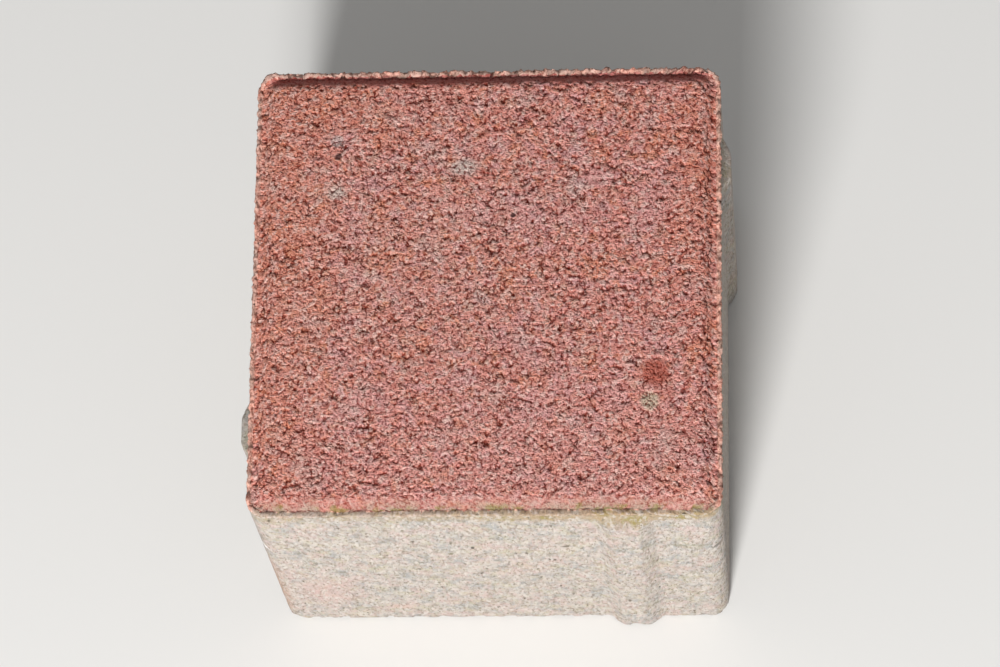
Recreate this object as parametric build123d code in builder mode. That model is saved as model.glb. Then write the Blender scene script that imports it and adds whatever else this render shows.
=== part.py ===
from build123d import *
import os

# A square concrete paving stone, cast in one piece and stored as it lies, walking face up.
# All sizes are in millimetres. The origin is the middle of the flat bed that the stone rests on,
# with +Z up and the four upright sides square to X and Y.

# The block
side_length = 97.0
stone_height = 80.0
upright_corner_radius = 4.0

# The rim of the walking face: a bevel all round, and outside its foot a narrow raised burr,
# where the mix is squeezed up between the pressing plate and the wall of the mould.
bevel_run = 2.5
bevel_drop = 2.5
walking_face_corner_radius = 2.5
burr_width = 1.0
burr_rise = 1.0

# The spacer nibs, one on each side, which hold the joint open when the stones are laid.
# Each is a low ridge with a flat crest and sloping flanks, and its upper end slopes back to the side.
nib_rise = 2.0
nib_crest_width = 5.7
nib_flank_run = 3.2
nib_crest_radius = 0.8
nib_to_corner = 20.0
nib_top_below_burr = 3.0
nib_top_slope_drop = 2.0
nib_root_depth = 1.0

# Heights and half-sizes that follow from the values above
half_side = side_length / 2
walking_face_side = side_length - 2 * (burr_width + bevel_run)
bevel_foot_height = stone_height - bevel_drop
burr_height = bevel_foot_height + burr_rise
nib_height = burr_height - nib_top_below_burr
nib_base_half = nib_crest_width / 2 + nib_flank_run
nib_centre = half_side - nib_to_corner

# The slope at the upper end of a nib, from the side of the block down to the crest
nib_slope = Plane(
    origin=(half_side, nib_centre, nib_height),
    x_dir=(0, 1, 0),
    z_dir=(nib_top_slope_drop, 0, nib_rise),
)

# One nib, on the side that faces +X. It is drawn in plan with its root sunk into the block,
# pulled up from the bed, and its upper end is cut to a slope.
with BuildPart() as spacer_nib:
    with BuildSketch() as nib_section:
        with BuildLine():
            Polyline(
                (half_side - nib_root_depth, nib_centre - nib_base_half),
                (half_side, nib_centre - nib_base_half),
                (half_side + nib_rise, nib_centre - nib_crest_width / 2),
                (half_side + nib_rise, nib_centre + nib_crest_width / 2),
                (half_side, nib_centre + nib_base_half),
                (half_side - nib_root_depth, nib_centre + nib_base_half),
                close=True,
            )
        make_face()
        crest_corners = nib_section.vertices().group_by(Axis.X)[-1]
        fillet(crest_corners, radius=nib_crest_radius)
    extrude(amount=nib_height)
    split(bisect_by=nib_slope, keep=Keep.BOTTOM)

with BuildPart() as paving_stone:
    # The block up to the foot of the bevel, with rounded upright corners.
    with BuildSketch() as plan:
        RectangleRounded(side_length, side_length, upright_corner_radius)
    extrude(amount=bevel_foot_height)

    # The burr stands on the outer edge of the block, all the way round.
    with BuildSketch(Plane.XY.offset(bevel_foot_height)) as burr_ring:
        add(plan.sketch)
        offset(plan.sketch, amount=-burr_width, mode=Mode.SUBTRACT)
    extrude(amount=burr_rise)

    # The pressed field inside the burr rises with the bevel to the walking face.
    with BuildSketch(Plane.XY.offset(bevel_foot_height)) as bevel_foot:
        offset(plan.sketch, amount=-burr_width)
    with BuildSketch(Plane.XY.offset(stone_height)) as walking_face:
        RectangleRounded(walking_face_side, walking_face_side, walking_face_corner_radius)
    loft()

    # The same nib on every side, a quarter turn apart.
    with PolarLocations(0, 4):
        add(spacer_nib.part)

paving_stone.part.label = "paving_stone"

os.makedirs("parts", exist_ok=True)
export_step(paving_stone.part, "parts/paving_stone.step")
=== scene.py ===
"""Models and dresses a square concrete paving stone, cast in one piece and lying face up.

The stone is shaped as a block with a bevel, a raised burr and four spacer nibs. It then gets the
relief of pressed concrete, and two finishes: the red mix of the walking face and the pale mix below.
Lengths are in metres, except in the relief and the finishes, which work in millimetres.
"""

import logging
import math
from collections.abc import Callable, Iterable
from dataclasses import dataclass, field
from enum import Enum
from functools import cached_property

import bmesh
import bpy
from mathutils import Matrix, Vector

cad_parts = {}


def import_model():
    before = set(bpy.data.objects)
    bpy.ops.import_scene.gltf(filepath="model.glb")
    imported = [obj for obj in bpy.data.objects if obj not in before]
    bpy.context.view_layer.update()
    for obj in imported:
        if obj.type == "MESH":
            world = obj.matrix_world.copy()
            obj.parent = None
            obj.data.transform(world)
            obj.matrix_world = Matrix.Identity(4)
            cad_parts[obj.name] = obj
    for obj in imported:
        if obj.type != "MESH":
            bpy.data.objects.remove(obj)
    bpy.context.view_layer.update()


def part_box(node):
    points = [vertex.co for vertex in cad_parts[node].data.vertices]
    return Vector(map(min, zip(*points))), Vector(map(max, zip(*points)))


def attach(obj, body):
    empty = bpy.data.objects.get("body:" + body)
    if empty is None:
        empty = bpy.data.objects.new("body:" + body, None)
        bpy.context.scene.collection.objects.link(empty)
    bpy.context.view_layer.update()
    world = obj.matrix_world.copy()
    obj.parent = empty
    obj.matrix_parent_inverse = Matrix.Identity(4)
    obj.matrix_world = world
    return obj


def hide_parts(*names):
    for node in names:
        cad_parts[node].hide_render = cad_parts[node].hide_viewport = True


MM = 0.001
NEAR = 0.1 * MM
UPWARDS = Vector((0.0, 0.0, 1.0))
FORWARDS = Vector((0.0, -1.0, 0.0))
ALIGNED = 0.99
CAST_PLACE = "cast_place"
WHITE = (1.0, 1.0, 1.0, 1.0)

Socket = bpy.types.NodeSocket
Feed = bpy.types.NodeSocket | float | tuple[float, ...]
Feeds = dict[str | int, Feed]
Colour = tuple[float, float, float]
Part = bmesh.types.BMFace | bmesh.types.BMEdge

log = logging.getLogger("paving_stone")


class Mix(Enum):
    """The two mixes of the casting. The value is the place of each one's finish on the piece."""

    BODY = 0
    FACING = 1


class Quarter(Enum):
    """The quarters of the stone whose rims differ. The value is the way each faces along Y."""

    FRONT = -1.0
    BACK = 1.0


class Measure(Enum):
    """What the distance in a cell is measured to. The value is Blender's own name for it."""

    MIDDLE = "F1"
    WALL = "DISTANCE_TO_EDGE"


class Net:
    """One node tree, for a finish or for a relief. Each method lays nodes and hands back their result."""

    def __init__(self, tree: bpy.types.NodeTree) -> None:
        """Starts on a cleared tree."""
        self.tree = tree
        tree.nodes.clear()

    def node(self, kind: str, feeds: Feeds | None = None, **settings: object) -> bpy.types.Node:
        """Adds one node.

        Args:
            kind: Blender's name of the node.
            feeds: what goes into its inputs, a socket to link or a value to set.
            settings: the node's own properties.

        Returns:
            The new node.
        """
        made = self.tree.nodes.new(kind)
        for key, value in settings.items():
            setattr(made, key, value)
        for key, value in (feeds or {}).items():
            if isinstance(value, Socket):
                self.tree.links.new(value, made.inputs[key])
            else:
                made.inputs[key].default_value = value
        return made

    def maths(self, operation: str, a: Feed, b: Feed = 0.0) -> Socket:
        """Two numbers put together, as the Math node names it."""
        return self.node("ShaderNodeMath", {0: a, 1: b}, operation=operation).outputs[0]

    def plus(self, a: Feed, b: Feed) -> Socket:
        """The sum of two numbers."""
        return self.maths("ADD", a, b)

    def minus(self, a: Feed, b: Feed) -> Socket:
        """The first number less the second."""
        return self.maths("SUBTRACT", a, b)

    def times(self, a: Feed, b: Feed) -> Socket:
        """The product of two numbers."""
        return self.maths("MULTIPLY", a, b)

    def larger(self, a: Feed, b: Feed) -> Socket:
        """The larger of two numbers."""
        return self.maths("MAXIMUM", a, b)

    def lowered(self, share: Feed, drop: float) -> Socket:
        """1 where a share is 0, and 1 less the drop where it is 1."""
        return self.minus(1.0, self.times(share, drop))

    def vector(self, operation: str, a: Feed, b: Feed = (0.0, 0.0, 0.0)) -> Socket:
        """Two vectors put together, as the Vector Math node names it."""
        return self.node("ShaderNodeVectorMath", {0: a, 1: b}, operation=operation).outputs["Vector"]

    def scaled(self, vector: Feed, factor: Feed) -> Socket:
        """A vector times a number."""
        feeds = {0: vector, "Scale": factor}
        return self.node("ShaderNodeVectorMath", feeds, operation="SCALE").outputs["Vector"]

    def length(self, vector: Feed) -> Socket:
        """A vector's length."""
        return self.node("ShaderNodeVectorMath", {0: vector}, operation="LENGTH").outputs["Value"]

    def split(self, vector: Feed) -> tuple[Socket, Socket, Socket]:
        """A vector's three parts."""
        parts = self.node("ShaderNodeSeparateXYZ", {0: vector}).outputs
        return parts[0], parts[1], parts[2]

    def join(self, x: Feed, y: Feed, z: Feed) -> Socket:
        """A vector from its three parts."""
        return self.node("ShaderNodeCombineXYZ", {0: x, 1: y, 2: z}).outputs[0]

    def step(self, value: Feed, start: Feed, end: Feed, least: float = 0.0, most: float = 1.0) -> Socket:
        """A smooth step from the least at start to the most at end, whichever of the two is larger."""
        feeds = {"Value": value, "From Min": start, "From Max": end, "To Min": least, "To Max": most}
        return self.node("ShaderNodeMapRange", feeds, interpolation_type="SMOOTHSTEP").outputs["Result"]

    def between(self, value: Feed, low: float, high: float) -> Socket:
        """A number from 0 to 1 spread over low to high."""
        feeds = {"Value": value, "To Min": low, "To Max": high}
        return self.node("ShaderNodeMapRange", feeds).outputs["Result"]

    def blend(self, factor: Feed, a: Feed, b: Feed) -> Socket:
        """A mix of two colours, all a at 0 and all b at 1."""
        feeds = {0: factor, 6: self.opaque(a), 7: self.opaque(b)}
        return self.node("ShaderNodeMix", feeds, data_type="RGBA").outputs[2]

    @staticmethod
    def opaque(colour: Feed) -> Feed:
        """A colour value with its alpha, or the socket as it is."""
        return colour if isinstance(colour, Socket) else (*colour, 1.0)

    def cells(self, point: Feed, size: float, measure: Measure = Measure.MIDDLE) -> bpy.types.Node:
        """Cells of about the given size, with the distance that is asked for and a random colour each."""
        feeds = {"Vector": point, "Scale": 1.0 / size}
        return self.node("ShaderNodeTexVoronoi", feeds, feature=measure.value)


@dataclass(frozen=True)
class Clouds:
    """Cloudy noise: its size in millimetres, how many finer layers it has, and their strength."""

    size: float
    detail: float = 2.0
    roughness: float = 0.5

    def lay(self, net: Net, point: Socket) -> bpy.types.Node:
        """Lays the noise.

        Args:
            net: the net to lay it in.
            point: where on the stone, in millimetres.

        Returns:
            The noise's own node.
        """
        feeds = {"Vector": point, "Scale": 1.0 / self.size}
        feeds |= {"Detail": self.detail, "Roughness": self.roughness}
        return net.node("ShaderNodeTexNoise", feeds, noise_dimensions="3D")

    def value(self, net: Net, point: Socket) -> Socket:
        """One number from 0 to 1."""
        return self.lay(net, point).outputs[0]

    def hues(self, net: Net, point: Socket) -> tuple[Socket, Socket, Socket]:
        """Three numbers from 0 to 1 that vary apart."""
        return net.split(self.lay(net, point).outputs[1])

    def sway(self, net: Net, point: Socket) -> Socket:
        """A vector that varies about zero."""
        return net.vector("SUBTRACT", self.lay(net, point).outputs[1], (0.5, 0.5, 0.5))


@dataclass(frozen=True)
class Swell(Clouds):
    """Cloudy unevenness from a low to a high, in millimetres."""

    low: float = 0.0
    high: float = 1.0

    def height(self, net: Net, point: Socket) -> Socket:
        """How high the unevenness is at a point."""
        return net.between(self.value(net, point), self.low, self.high)


@dataclass(frozen=True)
class Ramp:
    """A smooth step: where it starts and ends, and what it gives before its start and past its end."""

    start: float
    end: float
    least: float = 0.0
    most: float = 1.0

    def of(self, net: Net, value: Feed, origin: float = 0.0) -> Socket:
        """The height of the ramp at a value. Its start and end are counted from the origin."""
        return net.step(value, origin + self.start, origin + self.end, self.least, self.most)


@dataclass(frozen=True)
class Outline:
    """The stone's main sizes in millimetres, as the fields of relief and colour need them."""

    half_side: float
    corner_radius: float
    burr_height: float
    burr_width: float
    bevel_run: float


class Place:
    """Where a point lies on the cast stone, in millimetres."""

    RAGGEDNESS = Swell(1.3, 4.0, 0.7, low=-0.9, high=0.9)
    STRETCHES = Clouds(4.5, 4.0, 0.68)
    BEVEL_WANDER = Swell(2.2, 1.0, low=-1.6, high=1.6)
    DIAGONAL = Ramp(-1.5, 1.5)
    # How the borders fade, counted from the burr's inner wall, its top and the bevel's upper edge
    BURR_WALL = Ramp(0.5, 0.0)
    BURR_FOOT = Ramp(-1.6, -0.4)
    BEVEL_EDGE = Ramp(0.9, -0.9)
    FACE_WALL = Ramp(-0.3, 0.2)
    FACE_FOOT = Ramp(-2.0, -1.2)

    def __init__(self, net: Net, cast: Socket, outline: Outline) -> None:
        """Works out the point, its height and how far it lies inside the block's upright wall.

        Args:
            net: the net that the place belongs to.
            cast: the point's place on the plain stone, in metres.
            outline: the stone's main sizes.
        """
        self.net = net
        self.outline = outline
        self.point = net.scaled(cast, 1.0 / MM)
        self.x, self.y, self.z = net.split(self.point)
        straight = outline.half_side - outline.corner_radius
        reach = net.vector("SUBTRACT", net.vector("ABSOLUTE", self.point), (straight, straight, 0.0))
        across, along, _ = net.split(reach)
        flat = net.join(across, along, 0.0)
        round_part = net.length(net.vector("MAXIMUM", flat, (0.0, 0.0, 0.0)))
        flat_part = net.maths("MINIMUM", net.larger(across, along), 0.0)
        self.inset = net.minus(outline.corner_radius, net.plus(round_part, flat_part))

    @cached_property
    def raggedness(self) -> Socket:
        """A fine unevenness about 0, for the edges of spots and lines."""
        return self.RAGGEDNESS.height(self.net, self.point)

    @cached_property
    def stretches(self) -> tuple[Socket, Socket, Socket]:
        """Three fields that change every few millimetres, for what comes and goes along the rim."""
        return self.STRETCHES.hues(self.net, self.point)

    @cached_property
    def front(self) -> Socket:
        """1 on the front quarter of the stone."""
        return self.quarter(Quarter.FRONT)

    @cached_property
    def back(self) -> Socket:
        """1 on the back quarter of the stone."""
        return self.quarter(Quarter.BACK)

    def quarter(self, quarter: Quarter) -> Socket:
        """1 on the given quarter of the stone, between the diagonals, 0 on the rest."""
        outwards = self.net.times(self.y, quarter.value)
        return self.DIAGONAL.of(self.net, self.net.minus(outwards, self.net.maths("ABSOLUTE", self.x)))

    def uneven(self, value: Feed, amount: float) -> Socket:
        """A number with the given amount of raggedness added."""
        return self.net.plus(value, self.net.times(self.raggedness, amount))

    def on_burr(self) -> Socket:
        """Finds the raised burr round the walking face.

        Returns:
            1 on the burr, 0 elsewhere.
        """
        outer = self.BURR_WALL.of(self.net, self.inset, self.outline.burr_width)
        high = self.BURR_FOOT.of(self.net, self.z, self.outline.burr_height)
        return self.net.times(outer, high)

    def on_bevel(self) -> Socket:
        """Finds the bevel. Its inner edge wanders.

        Returns:
            1 on the bevel, 0 on the flat of the walking face.
        """
        edge = self.outline.burr_width + self.outline.bevel_run
        inset = self.net.plus(self.inset, self.BEVEL_WANDER.height(self.net, self.point))
        return self.BEVEL_EDGE.of(self.net, inset, edge)

    def on_face(self) -> Socket:
        """Finds the walking face, with its bevel and the groove.

        Returns:
            1 on the face, 0 on the burr and below.
        """
        inner = self.FACE_WALL.of(self.net, self.inset, self.outline.burr_width)
        high = self.FACE_FOOT.of(self.net, self.z, self.outline.burr_height)
        return self.net.times(inner, high)

    def near_base(self, reach: float) -> Socket:
        """1 at the bottom edge, 0 from the given distance on."""
        return self.net.times(self.net.step(self.z, reach, 0.0), self.net.step(self.inset, reach, 0.0))


@dataclass(frozen=True)
class Crevices:
    """Short, branching open cracks between grains, in millimetres.

    Cracks follow the walls of cells that are bent by a sway. They are shut where a second noise is low.
    Their edges slope over a share of the half width.
    """

    spacing: float
    half_width: float
    bend: float
    break_up: Clouds
    shut: float
    full: float
    slope: float = 0.5

    def field(self, net: Net, point: Socket, sway: Socket) -> Socket:
        """Lays the cracks.

        Args:
            net: the net to lay them in.
            point: where on the stone, in millimetres.
            sway: the vector that bends the cracks.

        Returns:
            1 in a crack, 0 elsewhere.
        """
        bent = net.vector("ADD", point, net.scaled(sway, self.bend))
        cells = net.cells(bent, self.spacing, Measure.WALL)
        distance = net.times(cells.outputs["Distance"], self.spacing)
        share = net.step(self.break_up.value(net, point), self.shut, self.full)
        half_width = net.times(share, self.half_width)
        return net.step(net.minus(half_width, distance), 0.0, self.half_width * self.slope)


@dataclass(frozen=True)
class Pits:
    """Round holes left by air or by lost grains, in millimetres. Most are small, and some are faint.

    Their edges slope over a share of the least radius.
    """

    spacing: float
    least_radius: float
    most_radius: float
    share: float
    slope: float = 0.6
    faintest: float = 0.3

    def field(self, net: Net, point: Socket) -> Socket:
        """Lays the pits.

        Args:
            net: the net to lay them in.
            point: where on the stone, in millimetres.

        Returns:
            Up to 1 in a pit, 0 elsewhere.
        """
        cells = net.cells(point, self.spacing)
        distance = net.times(cells.outputs["Distance"], self.spacing)
        chosen, size, depth = net.split(cells.outputs["Color"])
        radius = net.between(net.maths("POWER", size, 2.0), self.least_radius, self.most_radius)
        hole = net.step(net.minus(radius, distance), 0.0, self.least_radius * self.slope)
        strength = net.between(depth, self.faintest, 1.0)
        return net.times(hole, net.times(net.maths("LESS_THAN", chosen, self.share), strength))


@dataclass(frozen=True)
class Grains:
    """Sand grains that lie side by side: their size and the bend of their edges, in millimetres."""

    size: float
    bend: float = 0.8

    def numbers(self, net: Net, point: Socket, sway: Socket) -> tuple[Socket, Socket, Socket]:
        """Three random numbers for each grain. The sway makes the edges of the grains uneven."""
        bent = net.vector("ADD", point, net.scaled(sway, self.bend))
        return net.split(net.cells(bent, self.size).outputs["Color"])


@dataclass(frozen=True)
class Tint:
    """A colour that shows where a number is past its start, with the given most where it is full."""

    start: float
    full: float
    most: float
    colour: Colour

    def lay(self, net: Net, number: Socket, colour: Feed) -> Socket:
        """The colour with the tint laid over it where the number says."""
        return net.blend(net.step(number, self.start, self.full, most=self.most), colour, self.colour)


@dataclass(frozen=True)
class Mark:
    """A spot or smear of another colour with an uneven edge. Its middle and reach are in millimetres."""

    centre: tuple[float, float, float]
    reach: tuple[float, float, float]
    colour: Colour
    strength: float = 0.8
    softness: float = 0.3
    raggedness: float = 0.35

    def paint(self, place: Place, colour: Socket) -> Socket:
        """Paints the mark.

        Args:
            place: where on the stone.
            colour: the colour so far.

        Returns:
            The colour with the mark laid over it.
        """
        net = place.net
        away = net.vector("DIVIDE", net.vector("SUBTRACT", place.point, self.centre), self.reach)
        ragged = place.uneven(net.length(away), self.raggedness)
        share = net.step(ragged, 1.0 + self.softness, 1.0 - self.softness, most=self.strength)
        return net.blend(share, colour, self.colour)


@dataclass(frozen=True)
class FacingMix:
    """The red mix of the walking face, with its open grain, crevices and pits.

    Colours are linear red, green and blue. The plate leaves the front and far bevels smoother than
    the rest.
    """

    long_crevices: Crevices = Crevices(
        spacing=3.2, half_width=0.19, bend=1.9, break_up=Clouds(2.5, 1.0), shut=0.54, full=0.7
    )
    short_crevices: Crevices = Crevices(
        spacing=1.35, half_width=0.17, bend=0.9, break_up=Clouds(1.1, 1.0), shut=0.47, full=0.64
    )
    pits: Pits = Pits(spacing=2.1, least_radius=0.1, most_radius=0.34, share=0.5)
    grains: Grains = Grains(size=0.78)
    crack_bend: Clouds = Clouds(0.75)
    grain_edges: Clouds = Clouds(0.5, 2.0, 0.6)
    paste: Clouds = Clouds(0.62, 3.0, 0.66)
    close_hues: Clouds = Clouds(2.5)
    wide_hues: Clouds = Clouds(9.0, 3.0, 0.6)
    lumps: Swell = Swell(1.3, 2.0, 0.6, low=-0.5, high=0.18)
    swell: Swell = Swell(18.0, 1.0, low=-0.2, high=0.0)
    opening_depth: float = 0.5
    short_crevice_depth: float = 0.85
    bump_height: float = 0.64
    roughness: float = 0.92
    # How much of the openings, lumps and bump the plate takes off the smooth bevels
    fewer_openings: float = 0.65
    lower_lumps: float = 0.75
    softer_bump: float = 0.25

    salmon: Colour = (0.97, 0.44, 0.375)
    brick: Colour = (0.58, 0.16, 0.12)
    orange: Colour = (0.88, 0.31, 0.16)
    tan: Colour = (0.68, 0.43, 0.31)
    mauve: Colour = (0.80, 0.43, 0.44)
    pale: Colour = (0.98, 0.71, 0.63)
    ash: Colour = (0.68, 0.54, 0.50)
    rubbed: Colour = (0.27, 0.135, 0.108)
    # Painted shade of the far bevel, which faces away from the lamp
    painted_shade: Colour = (0.42, 0.12, 0.108)
    beige: Colour = (0.44, 0.34, 0.26)
    # Painted shade, with some dirt, for the low paste, the crevices and the pits
    painted_hollow_shade: Colour = (0.20, 0.015, 0.005)
    # Painted shade in the groove inside the burr
    groove_shade: Colour = (0.15, 0.08, 0.055)
    moss: Colour = (0.26, 0.225, 0.07)

    least_salmon: float = 0.2
    rubbed_share: float = 0.5
    # How much painted shade the far bevel, the openings and the low paste get
    painted_shade_share: float = 0.75
    opening_share: float = 0.9
    low_paste: Ramp = Ramp(0.51, 0.33, most=0.95)
    foot: Ramp = Ramp(3.4, 1.2)
    foot_at_front: Ramp = Ramp(-43.5, -46.0)
    foot_stretches: Ramp = Ramp(0.42, 0.6, most=0.8)
    foot_raggedness: float = 0.2
    groove_from_burr: float = 0.1
    groove_line: Ramp = Ramp(0.25, 0.05)
    groove_raggedness: float = 0.5
    groove_shade_stretches: Ramp = Ramp(0.42, 0.6, most=0.45)
    mossy_patch: Ramp = Ramp(1.2, 0.3)
    mossy_raggedness: float = 1.6
    mossy_stretches: Ramp = Ramp(0.5, 0.6, most=0.7)
    # Wide washes of another hue, single marks, and single holes that are only painted shade, painted last
    washes: tuple[Mark, ...] = (
        Mark((-46.0, 5.0, 79.7), (12.0, 50.0, 20.0), (0.80, 0.28, 0.16), 0.4, 0.7),
        Mark((-28.0, 43.0, 79.7), (26.0, 9.0, 20.0), (0.80, 0.28, 0.16), 0.35, 0.7),
        Mark((46.0, 22.0, 79.7), (9.0, 30.0, 20.0), (0.80, 0.27, 0.16), 0.4, 0.7),
        Mark((-14.0, 4.0, 79.7), (28.0, 24.0, 20.0), (0.62, 0.42, 0.29), 0.12, 0.8),
        Mark((14.0, -36.0, 79.7), (40.0, 13.0, 20.0), (0.84, 0.42, 0.38), 0.35, 0.7),
    )
    marks: tuple[Mark, ...] = (
        Mark((34.9, -19.0, 79.7), (3.0, 3.0, 3.0), (0.52, 0.125, 0.08), 0.8, 0.25),
        Mark((33.8, -25.0, 79.7), (1.9, 1.9, 1.9), (0.70, 0.64, 0.47), 0.7),
        Mark((-31.3, 32.4, 79.7), (1.5, 1.3, 1.5), (0.62, 0.50, 0.47), 0.75),
        Mark((-31.2, 21.0, 79.7), (2.0, 1.4, 2.0), (0.74, 0.60, 0.53), 0.75, 0.5),
        Mark((-4.9, 26.4, 79.7), (2.8, 1.8, 2.5), (0.72, 0.60, 0.54), 0.8, 0.5),
    )
    painted_hole_shades: tuple[Mark, ...] = (
        Mark((-31.0, 29.0, 79.7), (0.8, 0.8, 0.8), (0.07, 0.03, 0.03), 0.9),
        Mark((5.5, 15.6, 79.7), (0.6, 0.6, 0.6), (0.07, 0.03, 0.03), 0.9),
    )

    @property
    def hue_tints(self) -> tuple[Tint, ...]:
        """Lists the tints of the paste.

        Returns:
            One tint for each of the three close hues, then for each of the three wide ones.
        """
        return (
            Tint(0.5, 0.7, 0.5, self.tan),
            Tint(0.5, 0.68, 0.6, self.mauve),
            Tint(0.56, 0.7, 0.55, self.orange),
            Tint(0.52, 0.68, 0.4, self.orange),
            Tint(0.5, 0.68, 0.45, self.mauve),
            Tint(0.54, 0.7, 0.5, self.ash),
        )

    @property
    def pale_grain_and_highlight_tints(self) -> tuple[Tint, ...]:
        """The tints of single pale grains, and the painted highlight on the crests of the paste."""
        return Tint(0.6, 1.0, 0.55, self.pale), Tint(0.54, 0.7, 0.65, self.pale)

    def smooth(self, place: Place) -> Socket:
        """1 on the smooth bevels."""
        return place.net.times(place.on_bevel(), place.net.plus(place.front, place.back))

    def openings(self, place: Place, smooth: Socket) -> Socket:
        """Lays the crevices and the pits.

        Args:
            place: where on the stone.
            smooth: 1 on the smooth bevels.

        Returns:
            Up to 1 in a crevice or a pit, 0 elsewhere.
        """
        net = place.net
        sway = self.crack_bend.sway(net, place.point)
        long_ones = self.long_crevices.field(net, place.point, sway)
        short_ones = net.times(self.short_crevices.field(net, place.point, sway), self.short_crevice_depth)
        cracks = net.larger(long_ones, short_ones)
        openings = net.larger(cracks, self.pits.field(net, place.point))
        return net.times(openings, net.lowered(smooth, self.fewer_openings))

    def cast_height(self, place: Place) -> Socket:
        """Adds up the relief that the mesh holds.

        Args:
            place: where on the stone.

        Returns:
            The height in millimetres above the CAD face.
        """
        net = place.net
        smooth = self.smooth(place)
        depth = net.times(self.openings(place, smooth), -self.opening_depth)
        lumps = net.times(self.lumps.height(net, place.point), net.lowered(smooth, self.lower_lumps))
        return net.plus(depth, net.plus(lumps, self.swell.height(net, place.point)))

    def material(self, outline: Outline) -> bpy.types.Material:
        """Makes the finish of the walking face.

        Args:
            outline: the stone's main sizes.

        Returns:
            The material.
        """
        material, place = start_finish("walking_face_mix", outline)
        net = place.net
        smooth = self.smooth(place)
        paste = self.paste.value(net, place.point)
        shade, light, _ = self.grains.numbers(net, place.point, self.grain_edges.sway(net, place.point))
        hues = self.close_hues.hues(net, place.point) + self.wide_hues.hues(net, place.point)

        colour = net.blend(net.between(shade, self.least_salmon, 1.0), self.brick, self.salmon)
        colour = lay_tints(net, self.hue_tints, hues, colour)
        colour = paint_marks(place, self.washes, colour)
        # Single pale grains, then a painted highlight on the crests of the paste
        colour = lay_tints(net, self.pale_grain_and_highlight_tints, (light, paste), colour)
        colour = paint_marks(place, self.marks, colour)
        rubbed = net.times(net.times(smooth, place.front), self.rubbed_share)
        colour = net.blend(rubbed, colour, self.rubbed)
        # Painted shade: the far bevel, which faces away from the lamp, is tinted a darker, deeper red
        painted_shade = net.times(net.times(smooth, place.back), self.painted_shade_share)
        colour = net.blend(painted_shade, colour, self.painted_shade)
        colour = net.blend(self.foot_share(place), colour, self.beige)

        calm = net.lowered(smooth, self.softer_bump)
        # Painted shade, with some dirt: the low paste, the crevices and the pits darken to a deep red
        # brown
        colour = net.blend(net.times(self.low_paste.of(net, paste), calm), colour, self.painted_hollow_shade)
        openings = net.times(self.openings(place, smooth), self.opening_share)
        colour = net.blend(openings, colour, self.painted_hollow_shade)
        colour = self.paint_groove(place, colour)
        # Two holes drawn only as painted shade
        colour = paint_marks(place, self.painted_hole_shades, colour)
        height = net.times(net.between(paste, -self.bump_height, self.bump_height), calm)
        end_finish(net, colour, height, self.roughness)
        return material

    def foot_share(self, place: Place) -> Socket:
        """Finds where pale paste lies at the foot of the front bevel.

        Args:
            place: where on the stone.

        Returns:
            The share of pale paste, which comes and goes along the bevel.
        """
        net = place.net
        foot = net.times(self.foot.of(net, place.inset), self.foot_at_front.of(net, place.y))
        stretches = place.uneven(place.stretches[0], self.foot_raggedness)
        return net.times(foot, self.foot_stretches.of(net, stretches))

    def paint_groove(self, place: Place, colour: Socket) -> Socket:
        """Paints shade along the groove inside the burr in stretches, and in front the moss that grows in
        patches.

        Args:
            place: where on the stone.
            colour: the colour so far.

        Returns:
            The colour with the dirt and the moss.
        """
        net = place.net
        middle = place.outline.burr_width + self.groove_from_burr
        off_line = net.maths("ABSOLUTE", net.minus(place.inset, middle))
        # Painted shade along the groove, in stretches, where the burr shades the foot of the bevel
        line = self.groove_line.of(net, place.uneven(off_line, self.groove_raggedness))
        groove_shade_share = net.times(line, self.groove_shade_stretches.of(net, place.stretches[1]))
        colour = net.blend(groove_shade_share, colour, self.groove_shade)
        patch = self.mossy_patch.of(net, place.uneven(off_line, self.mossy_raggedness))
        grown = net.times(patch, self.mossy_stretches.of(net, place.stretches[2]))
        return net.blend(net.times(grown, place.front), colour, self.moss)


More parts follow.
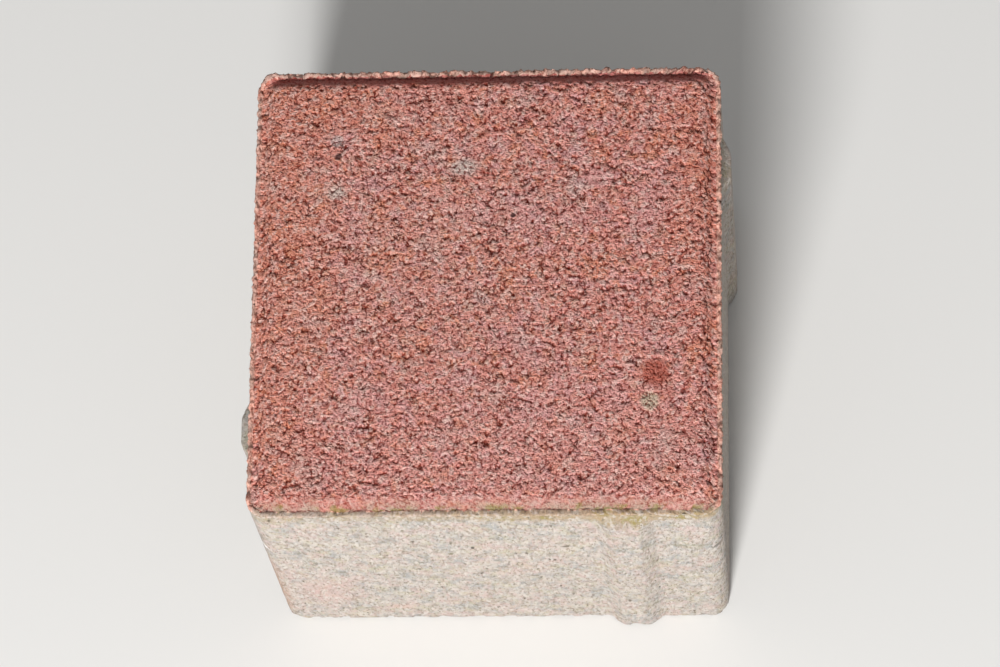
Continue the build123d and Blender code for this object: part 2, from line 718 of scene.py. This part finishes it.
@dataclass(frozen=True)
class BodyMix:
    """The pale mix of the sides and the bed, with its pores, tints, smears and the green line at the top.

    Colours are linear red, green and blue.
    """

    pores: Pits = Pits(spacing=2.1, least_radius=0.17, most_radius=0.42, share=0.55)
    small_pores: Pits = Pits(spacing=1.2, least_radius=0.12, most_radius=0.22, share=0.35)
    grains: Grains = Grains(size=0.62)
    crowding: Clouds = Clouds(9.0, 1.0)
    fine_grain: Clouds = Clouds(0.55, 3.0, 0.7)
    wide_hues: Clouds = Clouds(6.0, 4.0, 0.65)
    close_hues: Clouds = Clouds(1.1, 2.0, 0.6)
    lumps: Swell = Swell(2.2, 2.0, 0.6, low=-0.2, high=0.05)
    layers: Swell = Swell(1.2, 4.0, 0.65, low=-0.08, high=0.0)
    pore_depth: float = 0.42
    bump_height: float = 0.17
    roughness: float = 0.94

    cream: Colour = (0.44, 0.384, 0.343)
    grey: Colour = (0.30, 0.302, 0.295)
    white: Colour = (0.55, 0.505, 0.46)
    pink: Colour = (0.48, 0.355, 0.325)
    straw: Colour = (0.42, 0.38, 0.27)
    sand: Colour = (0.19, 0.165, 0.125)
    yellow: Colour = (0.345, 0.255, 0.155)
    olive: Colour = (0.25, 0.21, 0.07)
    paste: Colour = (0.86, 0.46, 0.36)
    brick: Colour = (0.42, 0.15, 0.11)
    # Painted shade in the pores
    painted_hollow_shade: Colour = (0.11, 0.095, 0.07)

    pore_share: float = 0.85
    crowd: Ramp = Ramp(0.35, 0.6, least=0.2, most=0.7)
    # The line of yellow paste and algae: heights are from the top of the burr
    line_height: Ramp = Ramp(-6.0, -3.0)
    line_raggedness: float = 3.0
    line_depth: Ramp = Ramp(1.6, 1.0)
    line_to_right: Ramp = Ramp(-25.0, 10.0, least=0.5)
    line_off_front: float = 0.2
    yellow_stretches: Ramp = Ramp(0.62, 0.42, least=0.65)
    yellow_raggedness: float = 0.15
    algae_stretches: Ramp = Ramp(0.51, 0.63, most=0.75)
    algae_raggedness: float = 0.25
    # The red paste on the burr and on its inner wall
    red_stretches: Ramp = Ramp(0.4, 0.6, least=0.55)
    red_height: Ramp = Ramp(-3.0, -2.0)
    red_inner_wall: Ramp = Ramp(0.7, 0.95, most=0.8)
    red_crests: Ramp = Ramp(0.36, 0.58)
    red_in_front: float = 0.12
    red_off_front: float = 0.95
    marks: tuple[Mark, ...] = (
        Mark((-48.6, -48.0, 20.0), (2.6, 4.0, 22.0), (0.50, 0.28, 0.19), 0.5, 0.6),
        Mark((-37.5, -48.5, 22.0), (6.0, 3.0, 10.0), (0.50, 0.345, 0.31), 0.6, 0.7),
        Mark((-22.0, -48.5, 9.5), (2.2, 2.0, 1.8), (0.50, 0.34, 0.29), 0.6, 0.6),
        Mark((25.5, -48.3, 78.2), (5.5, 1.8, 1.8), (0.40, 0.23, 0.13), 0.6, 0.5),
        Mark((45.5, -47.5, 77.5), (3.6, 2.5, 2.6), (0.32, 0.28, 0.12), 0.6, 0.5),
        Mark((-48.0, -47.0, 53.0), (1.5, 1.5, 1.2), (0.80, 0.78, 0.75), 0.9),
        Mark((41.0, -48.5, 55.0), (4.2, 1.0, 0.7), (0.20, 0.20, 0.15), 0.65, 0.6),
        Mark((16.2, -48.5, 55.0), (1.4, 1.0, 0.6), (0.10, 0.08, 0.06), 0.8),
        Mark((47.3, -47.6, 52.5), (1.3, 1.3, 1.1), (0.12, 0.10, 0.08), 0.7, 0.5),
        Mark((-8.7, -48.5, 50.0), (0.6, 1.0, 0.9), (0.16, 0.15, 0.09), 0.8),
        Mark((-3.9, -48.5, 54.3), (0.42, 1.0, 0.8), (0.07, 0.06, 0.05), 0.9),
        Mark((-3.1, -48.5, 35.0), (0.42, 1.0, 0.8), (0.08, 0.06, 0.05), 0.9),
    )

    @property
    def hue_tints(self) -> tuple[Tint, ...]:
        """Lists the tints of the paste.

        Returns:
            Three tints for the wide hues, three for the close ones, then two for the layers.
        """
        return (
            Tint(0.44, 0.62, 0.85, self.grey),
            Tint(0.48, 0.64, 0.7, self.pink),
            Tint(0.49, 0.64, 0.65, self.straw),
            Tint(0.5, 0.68, 0.6, self.grey),
            Tint(0.5, 0.68, 0.6, self.pink),
            Tint(0.52, 0.68, 0.4, self.straw),
            Tint(0.54, 0.7, 0.5, self.white),
            Tint(0.46, 0.3, 0.55, self.sand),
        )

    @property
    def grain_tints(self) -> tuple[Tint, ...]:
        """Lists the tints of the grain.

        Returns:
            One tint each for single pale and dark grains, then painted shade in the fine grain's hollows
            and a painted highlight on its crests.
        """
        return (
            Tint(0.55, 1.0, 0.6, self.white),
            Tint(0.7, 1.0, 0.4, self.sand),
            Tint(0.48, 0.3, 0.95, self.sand),
            Tint(0.53, 0.7, 0.35, self.white),
        )

    @staticmethod
    def drawn(place: Place) -> Socket:
        """The point on a stone squeezed upright, so that marks come out as the lifted mould draws them."""
        return place.net.vector("MULTIPLY", place.point, (1.0, 1.0, 0.42))

    @staticmethod
    def layered(place: Place) -> Socket:
        """The point on a stone squeezed level, so that marks come out wide, as the layers lie."""
        return place.net.vector("MULTIPLY", place.point, (0.5, 0.5, 0.6))

    def openings(self, place: Place) -> Socket:
        """Lays the pores. The small ones crowd in some places.

        Args:
            place: where on the stone.

        Returns:
            Up to 1 in a pore, 0 elsewhere.
        """
        net = place.net
        drawn = self.drawn(place)
        crowd = self.crowd.of(net, self.crowding.value(net, place.point))
        small_ones = net.times(self.small_pores.field(net, drawn), crowd)
        return net.larger(self.pores.field(net, drawn), small_ones)

    def cast_height(self, place: Place) -> Socket:
        """Adds up the relief that the mesh holds.

        Args:
            place: where on the stone.

        Returns:
            The height in millimetres outside the CAD face.
        """
        net = place.net
        depth = net.times(self.openings(place), -self.pore_depth)
        lumps = self.lumps.height(net, self.drawn(place))
        return net.plus(depth, net.plus(lumps, self.layers.height(net, self.layered(place))))

    def material(self, outline: Outline) -> bpy.types.Material:
        """Makes the finish of the sides and the bed.

        Args:
            outline: the stone's main sizes.

        Returns:
            The material.
        """
        material, place = start_finish("body_mix", outline)
        net = place.net
        drawn = self.drawn(place)
        fine_grain = self.fine_grain.lay(net, drawn).outputs
        fine, grain_edges = fine_grain[0], net.vector("SUBTRACT", fine_grain[1], (0.5, 0.5, 0.5))
        shade, light, _ = self.grains.numbers(net, drawn, grain_edges)
        layers = self.layers.value(net, self.layered(place))
        hues = self.wide_hues.hues(net, place.point) + self.close_hues.hues(net, drawn)

        colour = lay_tints(net, self.hue_tints, (*hues, layers, layers), self.cream)
        colour = paint_marks(place, self.marks, colour)
        colour = self.paint_top_line(place, colour)
        # Pale and dark grains, then painted shade in the hollows and a painted highlight on the crests of
        # the fine grain
        colour = lay_tints(net, self.grain_tints, (light, shade, fine, fine), colour)
        red = net.blend(self.red_crests.of(net, fine), self.brick, self.paste)
        colour = net.blend(self.red_share(place), colour, red)
        # Painted shade in the pores
        colour = net.blend(net.times(self.openings(place), self.pore_share), colour, self.painted_hollow_shade)
        height = net.between(fine, -self.bump_height, self.bump_height)
        end_finish(net, colour, height, self.roughness)
        return material

    def paint_top_line(self, place: Place, colour: Socket) -> Socket:
        """Paints yellow paste and green algae along the top of the sides, most of it in front.

        Args:
            place: where on the stone.
            colour: the colour so far.

        Returns:
            The colour with the line.
        """
        net = place.net
        under_top = net.minus(place.uneven(place.z, self.line_raggedness), place.outline.burr_height)
        line = net.times(self.line_height.of(net, under_top), self.line_depth.of(net, place.inset))
        in_front = net.between(place.front, self.line_off_front, 1.0)
        share = net.times(line, net.times(in_front, self.line_to_right.of(net, place.x)))
        stretches = place.uneven(place.stretches[0], self.yellow_raggedness)
        yellowing = self.yellow_stretches.of(net, stretches)
        colour = net.blend(net.times(share, yellowing), colour, self.yellow)
        stretches = place.uneven(place.stretches[2], self.algae_raggedness)
        algae = self.algae_stretches.of(net, stretches)
        return net.blend(net.times(algae, share), colour, self.olive)

    def red_share(self, place: Place) -> Socket:
        """Finds where red paste sticks to the burr, least of it in front.

        Args:
            place: where on the stone.

        Returns:
            The share of red paste.
        """
        net = place.net
        stretch = self.red_stretches.of(net, place.stretches[1])
        away = net.between(place.front, self.red_off_front, self.red_in_front)
        on_top = net.times(place.on_burr(), net.times(stretch, away))
        high = self.red_height.of(net, net.minus(place.z, place.outline.burr_height))
        return net.larger(on_top, net.times(self.red_inner_wall.of(net, place.inset), high))


@dataclass(frozen=True)
class Wear:
    """How the burr is torn and the bottom edge is worn, with lengths in millimetres.

    The burr lies lower and is torn less in front, and stands higher and rougher at the back.
    """

    crumbs: Clouds = Clouds(1.15, 3.0, 0.65)
    crumb_middle: tuple[float, float, float] = (0.5, 0.5, 0.45)
    crumb_size: float = 1.9
    crumb_size_front: float = 1.2
    tears: Clouds = Clouds(4.5)
    tear: Ramp = Ramp(0.48, 0.36)
    tear_depth: float = 0.5
    tear_depth_front: float = 0.3
    sunk: float = 0.42
    sunk_more_front: float = 0.34
    raised_back: float = 0.42
    lean: float = 0.45
    lean_from_wall: Ramp = Ramp(0.3, 0.9)
    nicks: Clouds = Clouds(2.6, 3.0, 0.6)
    nick: Ramp = Ramp(0.45, 0.75)
    nick_depth: float = 1.3
    nick_reach: float = 2.0

    def rim_crumbs(self, place: Place) -> Socket:
        """Tears and crumbles the burr.

        Args:
            place: where on the plain stone.

        Returns:
            The move of a point, as a vector.
        """
        net = place.net
        crumb = net.vector("SUBTRACT", self.crumbs.lay(net, place.point).outputs[1], self.crumb_middle)
        size = net.plus(net.between(place.front, self.crumb_size, self.crumb_size_front), place.back)
        torn = self.tear.of(net, self.tears.value(net, place.point))
        torn_off = net.times(torn, net.between(place.front, -self.tear_depth, -self.tear_depth_front))
        lower = net.times(place.front, -self.sunk_more_front)
        higher = net.times(place.back, self.raised_back)
        drop = net.plus(torn_off, net.minus(net.plus(lower, higher), self.sunk))
        outwards = net.vector("NORMALIZE", net.vector("MULTIPLY", place.point, (1.0, 1.0, 0.0)))
        leaning = net.times(net.plus(place.front, place.back), self.lean_from_wall.of(net, place.inset))
        lean = net.scaled(outwards, net.times(leaning, -self.lean))
        settled = net.vector("ADD", net.join(0.0, 0.0, drop), lean)
        total = net.vector("ADD", net.scaled(crumb, size), settled)
        return net.scaled(total, place.on_burr())

    def base_nicks(self, place: Place) -> Socket:
        """Wears the bottom edge.

        Args:
            place: where on the plain stone.

        Returns:
            The height of a point above its side, which is below 0 in a nick.
        """
        net = place.net
        nick = self.nick.of(net, self.nicks.value(net, place.point))
        return net.times(net.times(nick, place.near_base(self.nick_reach)), -self.nick_depth)


def lay_tints(net: Net, tints: Iterable[Tint], numbers: Iterable[Socket], colour: Feed) -> Socket:
    """Lays tints one over the other, each where its own number says.

    Args:
        net: the net to lay them in.
        tints: the tints, the lowest first.
        numbers: the number that goes with each tint.
        colour: the colour below them all.

    Returns:
        The colour with all the tints.
    """
    for tint, number in zip(tints, numbers, strict=True):
        colour = tint.lay(net, number, colour)
    return colour


def paint_marks(place: Place, marks: Iterable[Mark], colour: Socket) -> Socket:
    """Paints marks one over the other.

    Args:
        place: where on the stone.
        marks: the marks, the lowest first.
        colour: the colour below them all.

    Returns:
        The colour with all the marks.
    """
    for mark in marks:
        colour = mark.paint(place, colour)
    return colour


def start_finish(name: str, outline: Outline) -> tuple[bpy.types.Material, Place]:
    """Starts a material that reads each point's place on the cast stone.

    Args:
        name: the material's name.
        outline: the stone's main sizes.

    Returns:
        The new material, and the place that its patterns read.
    """
    material = bpy.data.materials.new(name)
    material.use_nodes = True
    net = Net(material.node_tree)
    cast = net.node("ShaderNodeAttribute", attribute_name=CAST_PLACE).outputs["Vector"]
    return material, Place(net, cast, outline)


def end_finish(net: Net, colour: Socket, height: Socket, roughness: float, shine: float = 0.1) -> None:
    """Ends a material with its shader.

    Args:
        net: the net of the material.
        colour: the surface's colour.
        height: the fine relief in millimetres.
        roughness: how matt the surface is.
        shine: how much it mirrors.
    """
    bump = net.node("ShaderNodeBump", {"Distance": MM, "Strength": 1.0, "Height": height})
    feeds = {"Base Color": colour, "Roughness": roughness}
    feeds |= {"Specular IOR Level": shine, "Normal": bump.outputs[0]}
    shader = net.node("ShaderNodeBsdfPrincipled", feeds)
    net.node("ShaderNodeOutputMaterial", {"Surface": shader.outputs[0]})


def looks_along(way: Vector) -> Callable[[bmesh.types.BMFace], bool]:
    """A test for the faces that look along the given way."""
    return lambda face: face.normal.dot(way) > ALIGNED


class Workpiece:
    """A mesh under edit: one primitive, shaped by operators on faces and edges picked by their place."""

    def __init__(self, name: str, low: Vector, high: Vector) -> None:
        """Starts from a box, with its place in its mesh.

        Args:
            name: the name of the piece.
            low: the corner of the box with the least of each coordinate.
            high: the corner with the most of each.
        """
        bpy.ops.object.select_all(action="DESELECT")
        bpy.ops.mesh.primitive_cube_add(size=1.0, location=(low + high) / 2, scale=high - low)
        bpy.ops.object.transform_apply(location=True, rotation=True, scale=True)
        self.piece = bpy.context.view_layer.objects.active
        self.piece.name = name
        self.piece.data.name = name

    @staticmethod
    def pick_nothing(mode: str) -> None:
        """Deselects all, ready to pick faces or edges."""
        bpy.ops.mesh.select_mode(type=mode)
        bpy.ops.mesh.select_all(action="DESELECT")

    def start_edit(self) -> None:
        """Enters edit mode with nothing selected."""
        bpy.ops.object.mode_set(mode="EDIT")
        bpy.ops.mesh.select_all(action="DESELECT")

    def finish_edit(self) -> None:
        """Leaves edit mode."""
        bpy.ops.object.mode_set(mode="OBJECT")

    def pick_faces(self, wanted: Callable[[bmesh.types.BMFace], bool]) -> None:
        """Selects the faces that pass a test, and nothing else."""
        self.pick_nothing("FACE")
        self.pick(bmesh.from_edit_mesh(self.piece.data).faces, wanted)

    def pick_edges(self, wanted: Callable[[bmesh.types.BMEdge], bool]) -> None:
        """Selects the edges that pass a test, and nothing else."""
        self.pick_nothing("EDGE")
        self.pick(bmesh.from_edit_mesh(self.piece.data).edges, wanted)

    def pick(self, parts: Iterable[Part], wanted: Callable[[Part], bool]) -> None:
        """Selects the parts that pass a test.

        Args:
            parts: the faces or the edges of the mesh under edit.
            wanted: the test.
        """
        for part in filter(wanted, parts):
            part.select = True
        bmesh.update_edit_mesh(self.piece.data)

    def extrude(self, move: tuple[float, float, float]) -> None:
        """Extrudes the selected faces along a vector."""
        bpy.ops.mesh.extrude_region_move(TRANSFORM_OT_translate={"value": move})

    def apply(self, kind: str, **settings: object) -> None:
        """Adds a modifier and applies it.

        Args:
            kind: Blender's name of the modifier.
            settings: the modifier's own properties.
        """
        modifier = self.piece.modifiers.new(kind.lower(), kind)
        for key, value in settings.items():
            setattr(modifier, key, value)
        bpy.ops.object.modifier_apply(modifier=modifier.name)


@dataclass
class PavingStone:
    """The stone, cast in one piece: block, bevel, burr and spacer nibs, then its relief and its finish."""

    low: Vector
    high: Vector
    nib_rise: float = 2.0 * MM
    corner_radius: float = 4.0 * MM
    corner_segments: int = 6
    bevel_run: float = 2.5 * MM
    bevel_drop: float = 2.5 * MM
    worn_edge: float = 0.9 * MM
    worn_edge_segments: int = 3
    burr_width: float = 1.0 * MM
    burr_rise: float = 1.0 * MM
    nib_crest: float = 5.7 * MM
    nib_flank: float = 3.2 * MM
    nib_to_corner: float = 20.0 * MM
    nib_top_below_burr: float = 3.0 * MM
    nib_top_slope: float = 2.0 * MM
    mesh_size: float = 0.38 * MM
    most_triangles: int = 192_000
    clearance: float = 0.03 * MM
    facing_depth: float = 1.5 * MM
    facing_gap: float = 0.05 * MM
    facing: FacingMix = field(default_factory=FacingMix)
    body: BodyMix = field(default_factory=BodyMix)
    wear: Wear = field(default_factory=Wear)

    @property
    def half_side(self) -> float:
        """Half the width of the block between its flat sides."""
        return self.high.x - self.nib_rise

    @property
    def burr_height(self) -> float:
        """The height of the burr above the bed."""
        return self.high.z - self.bevel_drop + self.burr_rise

    @property
    def outline(self) -> Outline:
        """Gathers the sizes that the fields of relief and colour need.

        Returns:
            The main sizes in millimetres.
        """
        return Outline(
            half_side=self.half_side / MM,
            corner_radius=self.corner_radius / MM,
            burr_height=self.burr_height / MM,
            burr_width=self.burr_width / MM,
            bevel_run=self.bevel_run / MM,
        )

    def build(self) -> bpy.types.Object:
        """Shapes the stone and gives it its relief.

        Returns:
            The finished piece, still without its materials.
        """
        half = self.half_side
        top_corner = Vector((half, half, self.burr_height))
        work = Workpiece("stone", Vector((-half, -half, self.low.z)), top_corner)
        self.round_upright_corners(work)
        self.press_the_face(work)
        for _ in range(4):
            self.raise_nib(work)
            self.turn_a_quarter(work)
        work.apply("REMESH", mode="VOXEL", voxel_size=self.mesh_size)
        self.cast_relief(work)
        self.thin_the_mesh(work)
        bpy.ops.object.shade_smooth()
        return work.piece

    def round_upright_corners(self, work: Workpiece) -> None:
        """Rounds the four upright edges.

        Args:
            work: the plain block.
        """
        work.start_edit()
        work.pick_edges(lambda edge: abs(edge.verts[0].co.z - edge.verts[1].co.z) > self.corner_radius)
        bpy.ops.mesh.bevel(offset=self.corner_radius, segments=self.corner_segments, affect="EDGES")
        work.finish_edit()

    def press_the_face(self, work: Workpiece) -> None:
        """Leaves the burr standing, sinks the groove and raises the walking face inside its bevel.

        Args:
            work: the block with its rounded corners.
        """
        foot = self.half_side - self.burr_width
        shrink = (foot - self.bevel_run) / foot
        work.start_edit()
        work.pick_faces(looks_along(UPWARDS))
        bpy.ops.mesh.inset(thickness=self.burr_width)
        work.extrude((0.0, 0.0, -self.burr_rise))
        work.extrude((0.0, 0.0, self.bevel_drop))
        bpy.ops.transform.resize(value=(shrink, shrink, 1.0), center_override=(0.0, 0.0, self.high.z))
        work.pick_edges(lambda edge: min(corner.co.z for corner in edge.verts) > self.high.z - NEAR)
        bpy.ops.mesh.bevel(offset=self.worn_edge, segments=self.worn_edge_segments, affect="EDGES")
        work.finish_edit()

    def raise_nib(self, work: Workpiece) -> None:
        """Raises one spacer nib on the side that faces -Y.

        Args:
            work: the block with its walking face.
        """
        half = self.half_side
        centre = half - self.nib_to_corner
        root = self.nib_crest / 2 + self.nib_flank
        top = self.burr_height - self.nib_top_below_burr
        sideways = Vector((1.0, 0.0, 0.0))
        cuts = (
            (Vector((centre - root, 0.0, 0.0)), sideways),
            (Vector((centre + root, 0.0, 0.0)), sideways),
            (Vector((0.0, 0.0, top)), UPWARDS),
        )
        work.start_edit()
        for place, normal in cuts:
            work.pick_faces(looks_along(FORWARDS))
            bpy.ops.mesh.bisect(plane_co=place, plane_no=normal)
        work.pick_faces(
            lambda face: looks_along(FORWARDS)(face)
            and abs(face.calc_center_median().x - centre) < root
            and face.calc_center_median().z < top
        )
        work.extrude((0.0, -self.nib_rise, 0.0))
        narrowing = self.nib_crest / (2 * root)
        bpy.ops.transform.resize(value=(narrowing, 1.0, 1.0), center_override=(centre, -half, 0.0))
        crest = -half - self.nib_rise / 2
        work.pick_edges(lambda edge: all(v.co.y < crest and v.co.z > top - NEAR for v in edge.verts))
        bpy.ops.transform.translate(value=(0.0, 0.0, -self.nib_top_slope))
        work.finish_edit()

    def turn_a_quarter(self, work: Workpiece) -> None:
        """Brings the next side to the front.

        Args:
            work: the stone, which turns by a quarter about its upright axis.
        """
        work.start_edit()
        bpy.ops.mesh.select_all(action="SELECT")
        bpy.ops.transform.rotate(value=math.pi / 2, orient_axis="Z", center_override=(0.0, 0.0, 0.0))
        work.finish_edit()

    def cast_relief(self, work: Workpiece) -> None:
        """Notes each point's place on the plain stone, and moves it by the relief of the concrete.

        Args:
            work: the plain stone, in a fine even mesh.
        """
        tree = bpy.data.node_groups.new("cast_relief", "GeometryNodeTree")
        for way in ("INPUT", "OUTPUT"):
            tree.interface.new_socket("Geometry", in_out=way, socket_type="NodeSocketGeometry")
        net = Net(tree)
        start = net.node("NodeGroupInput")
        position = net.node("GeometryNodeInputPosition").outputs[0]
        noted = net.node(
            "GeometryNodeStoreNamedAttribute",
            {"Geometry": start.outputs[0], "Name": CAST_PLACE, "Value": position},
            data_type="FLOAT_VECTOR",
            domain="POINT",
        )
        place = Place(net, position, self.outline)
        moved = net.vector("ADD", position, net.scaled(self.move(place), MM))
        skin = Vector((self.clearance, self.clearance, self.clearance))
        inside = net.vector("MAXIMUM", moved, tuple(self.low + skin))
        inside = net.vector("MINIMUM", inside, tuple(self.high - skin))
        shifted = net.node("GeometryNodeSetPosition", {"Geometry": noted.outputs[0], "Position": inside})
        net.node("NodeGroupOutput", {0: shifted.outputs[0]})
        work.apply("NODES", node_group=tree)

    def move(self, place: Place) -> Socket:
        """Adds up the relief of both mixes and the wear.

        Args:
            place: where on the plain stone.

        Returns:
            The move of a point in millimetres, as a vector.
        """
        net = place.net
        normal = net.node("GeometryNodeInputNormal").outputs[0]
        on_face = place.on_face()
        facing_height = net.times(self.facing.cast_height(place), on_face)
        body_height = net.times(self.body.cast_height(place), net.minus(1.0, on_face))
        relief = net.scaled(normal, net.plus(facing_height, body_height))
        nicks = net.scaled(normal, self.wear.base_nicks(place))
        return net.vector("ADD", net.vector("ADD", relief, self.wear.rim_crumbs(place)), nicks)

    def thin_the_mesh(self, work: Workpiece) -> None:
        """Takes triangles out where the surface is even, down to the most that the piece may have.

        Args:
            work: the stone with its relief.
        """
        triangles = sum(len(face.vertices) - 2 for face in work.piece.data.polygons)
        log.info("stone: %d triangles before thinning", triangles)
        work.apply("DECIMATE", decimate_type="COLLAPSE", ratio=min(1.0, self.most_triangles / triangles))

    def dress(self, piece: bpy.types.Object) -> None:
        """Gives the walking face its red mix and the rest its pale one, and sets the piece in the frame.

        Args:
            piece: the finished stone.
        """
        finishes = {Mix.BODY: self.body, Mix.FACING: self.facing}
        piece.data.materials.clear()
        for mix in Mix:
            piece.data.materials.append(finishes[mix].material(self.outline))
        for face in piece.data.polygons:
            face.material_index = self.mix_at(face.center).value
        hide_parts("paving_stone")
        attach(piece, "root")

    def mix_at(self, point: Vector) -> Mix:
        """Finds which mix a point of the surface shows.

        Args:
            point: a point on the stone.

        Returns:
            The facing mix inside the burr and down to the groove, and the body mix elsewhere.
        """
        straight = self.half_side - self.corner_radius
        across = max(abs(point.x) - straight, 0.0)
        along = max(abs(point.y) - straight, 0.0)
        inner = self.corner_radius - self.burr_width - self.facing_gap
        foot = self.burr_height - self.burr_rise - self.facing_depth
        return Mix.FACING if point.z > foot and math.hypot(across, along) < inner else Mix.BODY


@dataclass
class Studio:
    """A plain pale floor, soft light and the camera, in metres and degrees."""

    floor_size: float = 6.0
    floor_colour: Colour = (0.78, 0.77, 0.75)
    floor_roughness: float = 0.9
    floor_shine: float = 0.1
    sky_colour: Colour = (0.84, 0.84, 0.84)
    sky_strength: float = 0.31
    key_power: float = 33.0
    key_size: float = 0.35
    key_distance: float = 1.6
    key_elevation: float = 32.0
    key_azimuth: float = -6.0
    key_aim: Vector = field(default_factory=lambda: Vector((0.0, 0.0, 0.04)))
    eye: Vector = field(default_factory=lambda: Vector((0.0655, -0.3139, 0.9651)))
    aim: Vector = field(default_factory=lambda: Vector((0.001, 0.0, 0.05)))
    roll: float = 0.69
    lens: float = 165.0
    sensor_width: float = 36.0

    def build(self) -> None:
        """Makes the floor, the lights and the camera."""
        self.lay_floor()
        self.light_sky()
        self.hang_key()
        self.set_camera()

    def lay_floor(self) -> None:
        """Lays the floor that the stone rests on."""
        bpy.ops.object.select_all(action="DESELECT")
        bpy.ops.mesh.primitive_plane_add(size=self.floor_size)
        floor = bpy.context.view_layer.objects.active
        floor.name = "floor"
        material = bpy.data.materials.new("floor")
        material.use_nodes = True
        shader = material.node_tree.nodes["Principled BSDF"]
        shader.inputs["Base Color"].default_value = (*self.floor_colour, 1.0)
        shader.inputs["Roughness"].default_value = self.floor_roughness
        shader.inputs["Specular IOR Level"].default_value = self.floor_shine
        floor.data.materials.append(material)

    def light_sky(self) -> None:
        """Lights the scene evenly from all round, and shows the sky itself as a plain pale grey."""
        world = bpy.data.worlds.new("sky")
        bpy.context.scene.world = world
        world.use_nodes = True
        net = Net(world.node_tree)
        lit = net.node("ShaderNodeBackground", {"Color": WHITE, "Strength": self.sky_strength})
        seen = net.node("ShaderNodeBackground", {"Color": (*self.sky_colour, 1.0), "Strength": 1.0})
        rays = net.node("ShaderNodeLightPath").outputs
        mirrored = net.larger(rays["Is Glossy Ray"], rays["Is Transmission Ray"])
        looking = net.larger(rays["Is Camera Ray"], mirrored)
        mix = net.node("ShaderNodeMixShader", {0: looking, 1: lit.outputs[0], 2: seen.outputs[0]})
        net.node("ShaderNodeOutputWorld", {"Surface": mix.outputs[0]})

    def hang_key(self) -> None:
        """Hangs the large soft lamp in front and a little to the left."""
        azimuth = math.radians(self.key_azimuth)
        elevation = math.radians(self.key_elevation)
        level = math.cos(elevation)
        towards = Vector((math.sin(azimuth) * level, -math.cos(azimuth) * level, math.sin(elevation)))
        lamp = bpy.data.lights.new("key", "AREA")
        lamp.shape = "DISK"
        lamp.size = self.key_size
        lamp.energy = self.key_power
        holder = bpy.data.objects.new("key", lamp)
        bpy.context.collection.objects.link(holder)
        holder.location = towards * self.key_distance + self.key_aim
        holder.rotation_mode = "QUATERNION"
        holder.rotation_quaternion = towards.to_track_quat("Z", "Y")

    def set_camera(self) -> None:
        """Sets the camera at the photograph's viewing angle, aimed at the stone."""
        camera = bpy.data.cameras.new("camera")
        camera.sensor_width = self.sensor_width
        camera.lens = self.lens
        holder = bpy.data.objects.new("camera", camera)
        bpy.context.collection.objects.link(holder)
        forward = (self.aim - self.eye).normalized()
        right = forward.cross(Vector((0.0, 1.0, 0.0))).normalized()
        up = right.cross(forward)
        turn = Matrix((right, up, -forward)).transposed().to_4x4()
        roll = Matrix.Rotation(math.radians(self.roll), 4, "Z")
        holder.matrix_world = Matrix.Translation(self.eye) @ turn @ roll
        bpy.context.scene.camera = holder


def main() -> None:
    """Builds the stone and the studio round it."""
    logging.basicConfig(level=logging.INFO, format="%(name)s %(message)s")
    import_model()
    bpy.context.scene.view_settings.view_transform = "Standard"
    low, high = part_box("paving_stone")
    stone = PavingStone(low=low, high=high)
    piece = stone.build()
    stone.dress(piece)
    log.info("%s: %d faces, one cast piece", piece.name, len(piece.data.polygons))
    Studio().build()
    log.info("studio: floor, sky, key lamp and camera")


if __name__ == "__main__":
    main()
